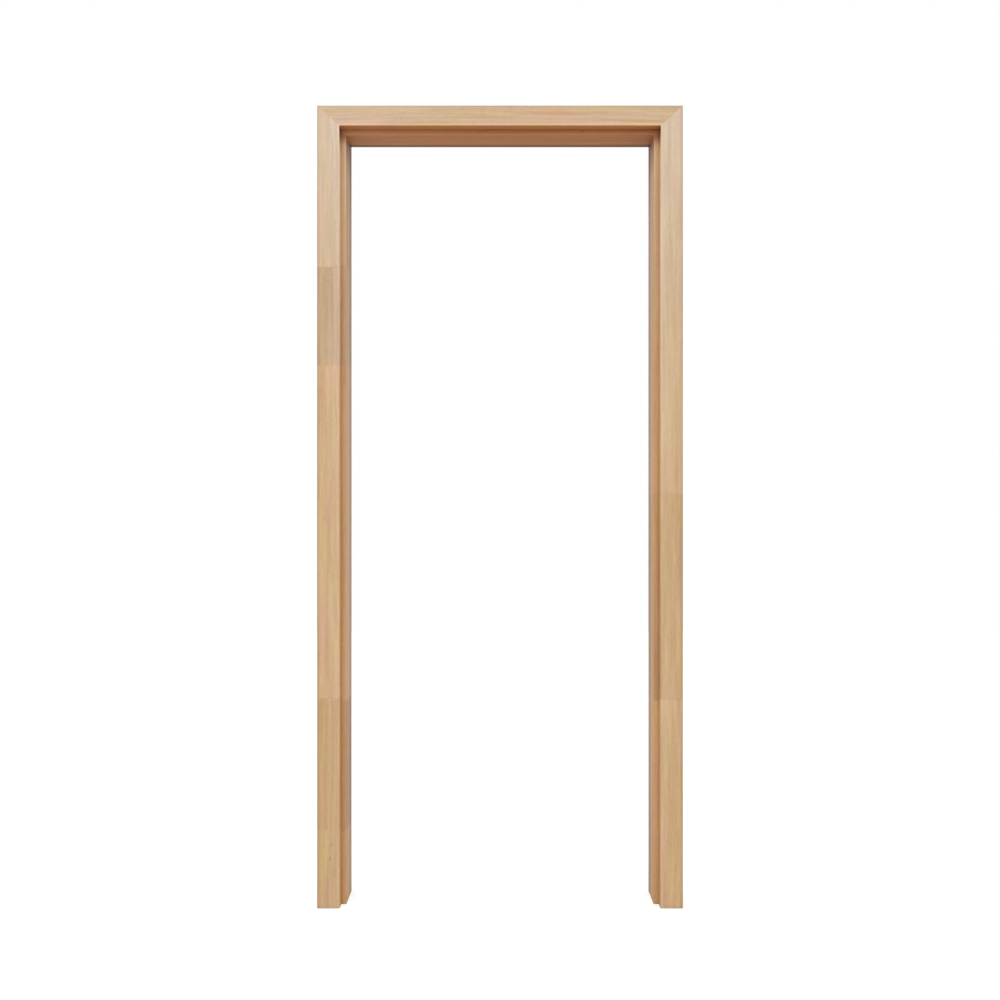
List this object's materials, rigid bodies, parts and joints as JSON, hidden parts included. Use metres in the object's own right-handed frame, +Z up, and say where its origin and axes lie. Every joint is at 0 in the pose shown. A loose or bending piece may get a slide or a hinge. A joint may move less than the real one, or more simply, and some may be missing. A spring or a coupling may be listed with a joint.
{
  "type": "wooden door frame",
  "caption": "Rebated timber door frame: two legs and a head, mitred, with a stop, and casings that clasp the wall on both sides. Open at the floor, no leaf.",
  "frame": {"origin": "on the floor, midway between the legs and midway through the frame's depth", "axes": "+X across the doorway, +Y from the front face with the rebate to the back, +Z up the legs"},
  "size_m": [0.957, 0.168, 2.1],
  "materials": {
    "front_casing": "pale oak, matt lacquer",
    "lining": "pale oak, matt lacquer",
    "rear_casing": "pale oak, matt lacquer",
    "beech": "raw beech",
    "screw_steel": "yellow zinc plate"
  },
  "bodies": {
    "root": {"front_casing_left": "front_casing", "front_casing_right": "front_casing", "front_casing_head": "front_casing", "lining_left": "lining", "lining_right": "lining", "lining_head": "lining", "rear_casing_left": "rear_casing", "rear_casing_right": "rear_casing", "rear_casing_head": "rear_casing", "dowel_left_front": "beech", "dowel_left_back": "beech", "dowel_right_front": "beech", "dowel_right_back": "beech", "front_biscuit_left": "beech", "front_biscuit_right": "beech", "rear_biscuit_left": "beech", "rear_biscuit_right": "beech", "screw_left_front": "screw_steel", "screw_left_back": "screw_steel", "screw_right_front": "screw_steel", "screw_right_back": "screw_steel"}
  },
  "joints": []
}
